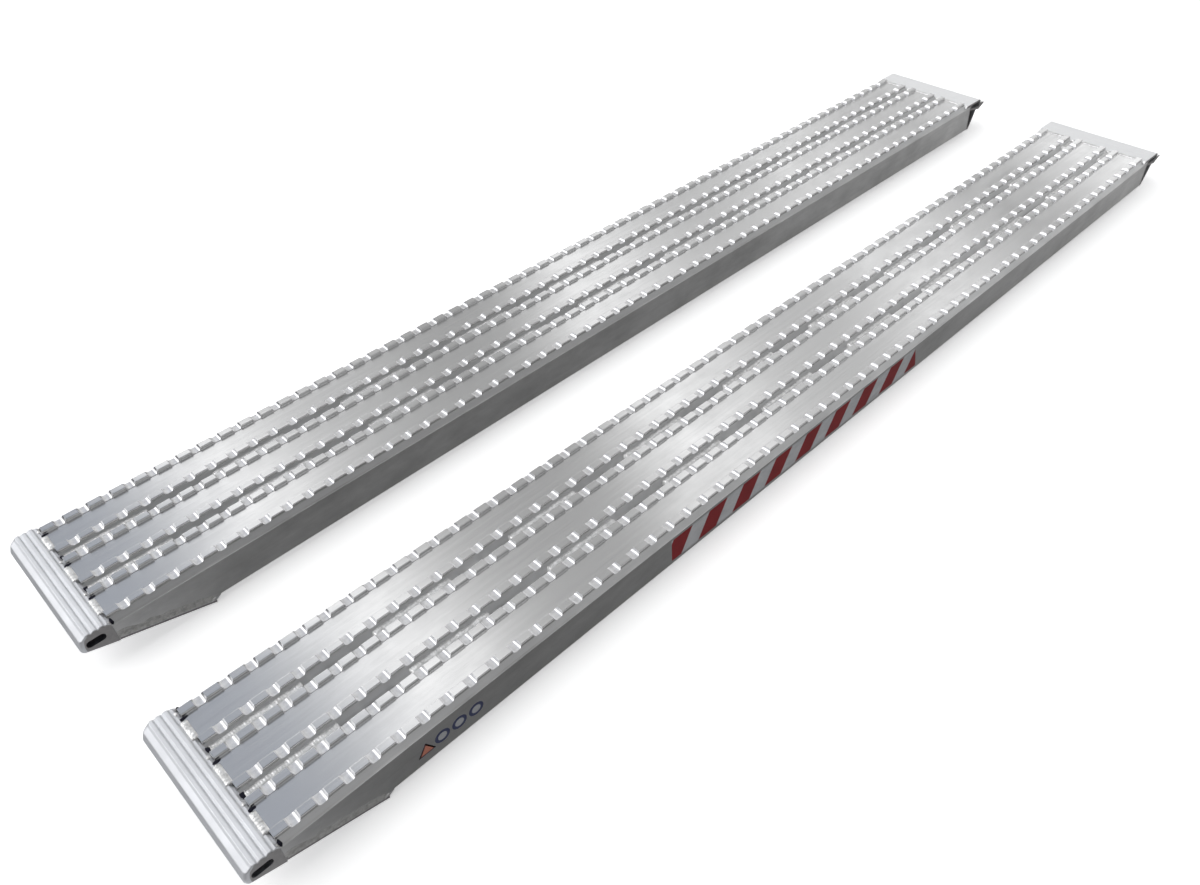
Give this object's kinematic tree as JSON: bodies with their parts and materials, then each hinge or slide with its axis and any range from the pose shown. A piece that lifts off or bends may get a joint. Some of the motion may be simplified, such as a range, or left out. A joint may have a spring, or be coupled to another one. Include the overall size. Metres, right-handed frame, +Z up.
{
  "type": "vehicle loading ramp pair",
  "caption": "Pair of straight aluminium loading ramps with notched grip ribs, a slanted foot and a lipped head for a truck bed.",
  "frame": {"origin": "middle of the pair's footprint, on the plane that the heels stand on", "axes": "+Y along the ramps from foot to head, +X from the left ramp to the right ramp, +Z up out of the decks"},
  "size_m": [0.911, 3.179, 0.1148],
  "materials": {
    "beam_aluminium": "extruded, brushed along its length",
    "end_aluminium": "bright extruded, brushed along its length",
    "plate_aluminium": "rolled plate, dull",
    "weld_metal": "rippled weld bead",
    "marking_film": "retroreflective film, red and silver stripes",
    "label_film": "printed film, blank"
  },
  "bodies": {
    "right_ramp": {"right_blank_labels": "label_film", "right_cross_tie_1": "plate_aluminium", "right_cross_tie_2": "plate_aluminium", "right_cross_tie_3": "plate_aluminium", "right_cross_tie_4": "plate_aluminium", "right_foot_nose": "end_aluminium", "right_foot_welds": "weld_metal", "right_groove_welds": "weld_metal", "right_hazard_marking": "marking_film", "right_head_lip": "end_aluminium", "right_head_welds": "weld_metal", "right_heel_bar": "plate_aluminium", "right_inner_beam": "beam_aluminium", "right_middle_beam": "beam_aluminium", "right_outer_beam": "beam_aluminium", "right_sole_plate": "plate_aluminium", "right_tie_welds": "weld_metal"},
    "left_ramp": {"left_cross_tie_1": "plate_aluminium", "left_cross_tie_2": "plate_aluminium", "left_cross_tie_3": "plate_aluminium", "left_cross_tie_4": "plate_aluminium", "left_foot_nose": "end_aluminium", "left_foot_welds": "weld_metal", "left_groove_welds": "weld_metal", "left_head_lip": "end_aluminium", "left_head_welds": "weld_metal", "left_heel_bar": "plate_aluminium", "left_inner_beam": "beam_aluminium", "left_middle_beam": "beam_aluminium", "left_outer_beam": "beam_aluminium", "left_sole_plate": "plate_aluminium", "left_tie_welds": "weld_metal"}
  },
  "joints": [
    {"name": "ramp_spacing", "type": "slide", "parent": "right_ramp", "child": "left_ramp", "axis": [-1, 0, 0], "range_m": [-0.2, 0.9]}
  ]
}
